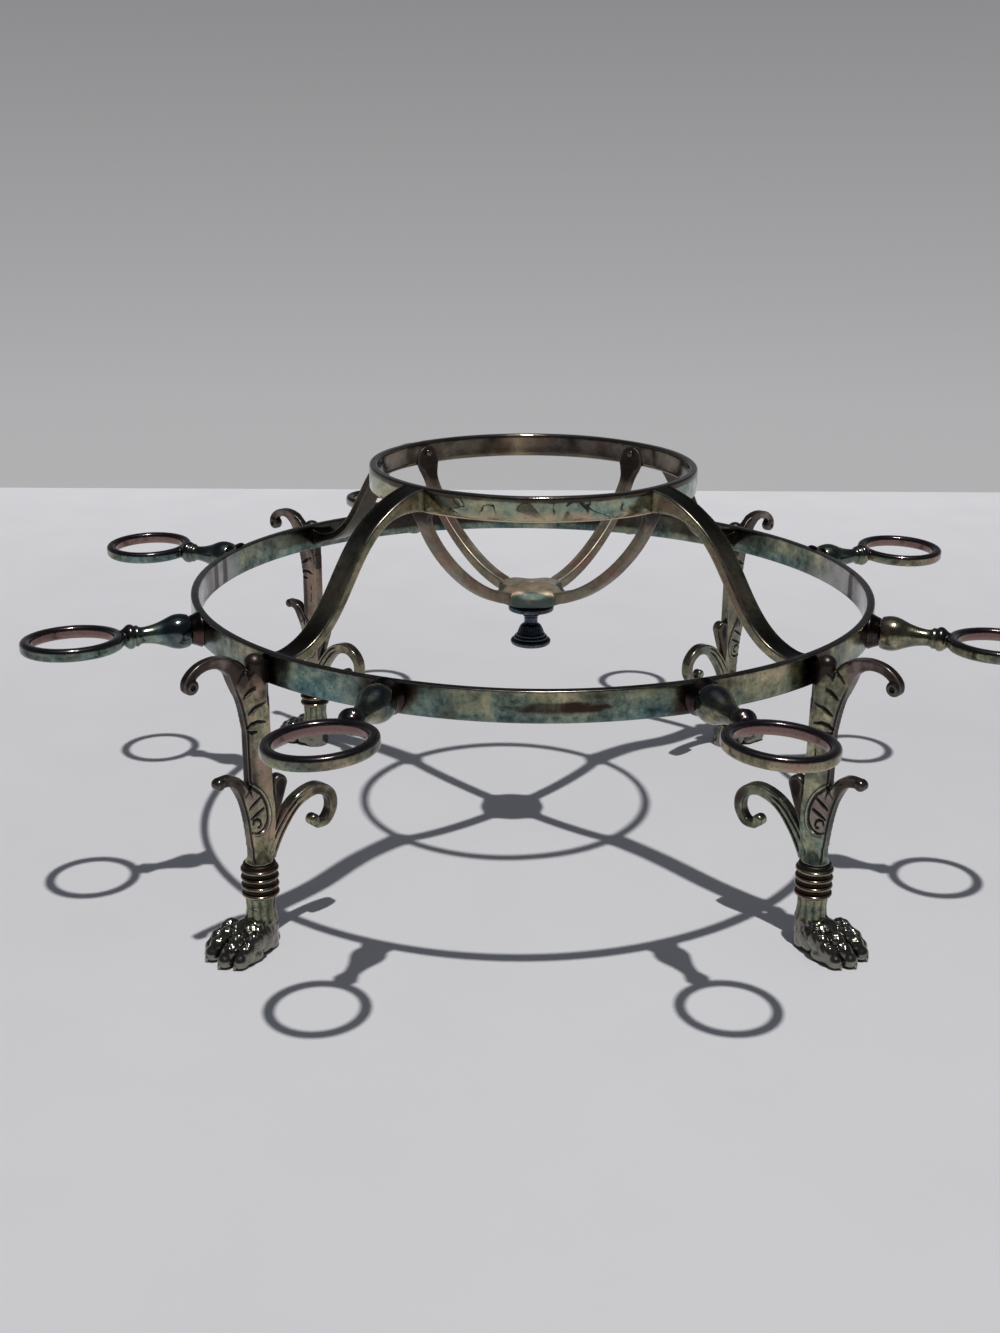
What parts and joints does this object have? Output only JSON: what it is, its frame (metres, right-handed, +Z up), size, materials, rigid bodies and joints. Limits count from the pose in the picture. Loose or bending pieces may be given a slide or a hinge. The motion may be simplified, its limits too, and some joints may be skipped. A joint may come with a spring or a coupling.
{
  "type": "epergne frame",
  "caption": "Footed centrepiece frame: band ring on scrolled legs with paws, raised ring over a ribbed cradle, and ringed arms round the band for small bowls.",
  "frame": {"origin": "on the floor under the middle of the rings, in the middle of the paws", "axes": "+Z up along the axis of both rings; the legs stand at 45 degrees between the X and Y axes"},
  "size_m": [0.5164, 0.5164, 0.2196],
  "materials": {
    "main_ring": "silver plate, glossy, mottled teal and olive tarnish, black along the edges",
    "upper_ring": "silver plate, glossy, teal to straw tarnish with brown stains",
    "bracket_arm": "silver plate tarnished nearly black, bright worn edges",
    "cradle_rib": "silver plate, satin, grey-brown with copper showing through",
    "cradle_hub": "silver plate, scratched, copper-grey",
    "finial": "silver plate tarnished blue-black, glossy",
    "arm_socket": "silver plate, dark olive tarnish",
    "bowl_arm": "silver plate, purple-brown tops, teal and silver undersides",
    "leg": "cast and silver plated, pale olive faces, dark lines in the carving",
    "leg_collar": "cast and silver plated, dark with copper on the reeds",
    "paw": "cast and silver plated, dark bronze green with bright high spots",
    "hidden_pin": "plain brass"
  },
  "bodies": {
    "stand": {"main_ring": "main_ring", "upper_ring": "upper_ring", "bracket_arm_1": "bracket_arm", "bracket_arm_2": "bracket_arm", "bracket_arm_3": "bracket_arm", "bracket_arm_4": "bracket_arm", "cradle_rib_1": "cradle_rib", "cradle_rib_2": "cradle_rib", "cradle_rib_3": "cradle_rib", "cradle_rib_4": "cradle_rib", "cradle_hub": "cradle_hub", "finial_stud": "hidden_pin", "arm_socket_1": "arm_socket", "arm_socket_2": "arm_socket", "arm_socket_3": "arm_socket", "arm_socket_4": "arm_socket", "arm_socket_5": "arm_socket", "arm_socket_6": "arm_socket", "arm_socket_7": "arm_socket", "arm_socket_8": "arm_socket", "leg_1": "leg", "leg_2": "leg", "leg_3": "leg", "leg_4": "leg", "leg_collar_1": "leg_collar", "leg_collar_2": "leg_collar", "leg_collar_3": "leg_collar", "leg_collar_4": "leg_collar", "paw_1": "paw", "paw_2": "paw", "paw_3": "paw", "paw_4": "paw", "leg_pin_1": "hidden_pin", "leg_pin_2": "hidden_pin", "leg_pin_3": "hidden_pin", "leg_pin_4": "hidden_pin", "ring_pin_1": "hidden_pin", "ring_pin_2": "hidden_pin", "ring_pin_3": "hidden_pin", "ring_pin_4": "hidden_pin"},
    "bowl_arm_1": {"bowl_arm_1": "bowl_arm"},
    "bowl_arm_2": {"bowl_arm_2": "bowl_arm"},
    "bowl_arm_3": {"bowl_arm_3": "bowl_arm"},
    "bowl_arm_4": {"bowl_arm_4": "bowl_arm"},
    "bowl_arm_5": {"bowl_arm_5": "bowl_arm"},
    "bowl_arm_6": {"bowl_arm_6": "bowl_arm"},
    "bowl_arm_7": {"bowl_arm_7": "bowl_arm"},
    "bowl_arm_8": {"bowl_arm_8": "bowl_arm"},
    "finial_washer": {"finial_washer": "finial"},
    "finial_knob": {"finial_knob": "finial"}
  },
  "joints": [
    {"name": "arm_turn_1", "type": "hinge", "parent": "stand", "child": "bowl_arm_1", "pos_m": [0.17831, 0.07386, 0.146], "axis": [0.9239, 0.3827, 0], "range_deg": [0, 360]},
    {"name": "arm_turn_2", "type": "hinge", "parent": "stand", "child": "bowl_arm_2", "pos_m": [0.07386, 0.17831, 0.146], "axis": [0.3827, 0.9239, 0], "range_deg": [0, 360]},
    {"name": "arm_turn_3", "type": "hinge", "parent": "stand", "child": "bowl_arm_3", "pos_m": [-0.07386, 0.17831, 0.146], "axis": [-0.3827, 0.9239, 0], "range_deg": [0, 360]},
    {"name": "arm_turn_4", "type": "hinge", "parent": "stand", "child": "bowl_arm_4", "pos_m": [-0.17831, 0.07386, 0.146], "axis": [-0.9239, 0.3827, 0], "range_deg": [0, 360]},
    {"name": "arm_turn_5", "type": "hinge", "parent": "stand", "child": "bowl_arm_5", "pos_m": [-0.17831, -0.07386, 0.146], "axis": [-0.9239, -0.3827, 0], "range_deg": [0, 360]},
    {"name": "arm_turn_6", "type": "hinge", "parent": "stand", "child": "bowl_arm_6", "pos_m": [-0.07386, -0.17831, 0.146], "axis": [-0.3827, -0.9239, 0], "range_deg": [0, 360]},
    {"name": "arm_turn_7", "type": "hinge", "parent": "stand", "child": "bowl_arm_7", "pos_m": [0.07386, -0.17831, 0.146], "axis": [0.3827, -0.9239, 0], "range_deg": [0, 360]},
    {"name": "arm_turn_8", "type": "hinge", "parent": "stand", "child": "bowl_arm_8", "pos_m": [0.17831, -0.07386, 0.146], "axis": [0.9239, -0.3827, 0], "range_deg": [0, 360]},
    {"name": "finial_drop", "type": "slide", "parent": "stand", "child": "finial_washer", "axis": [0, 0, -1], "range_m": [0, 0.005]},
    {"name": "knob_turn", "type": "hinge", "parent": "finial_washer", "child": "finial_knob", "pos_m": [0, 0, 0.125], "axis": [0, 0, -1], "range_deg": [0, 1800]}
  ],
  "couplings": [
    {"joint": "knob_turn", "follows": "finial_drop", "rad_per_m": 6283.2}
  ]
}
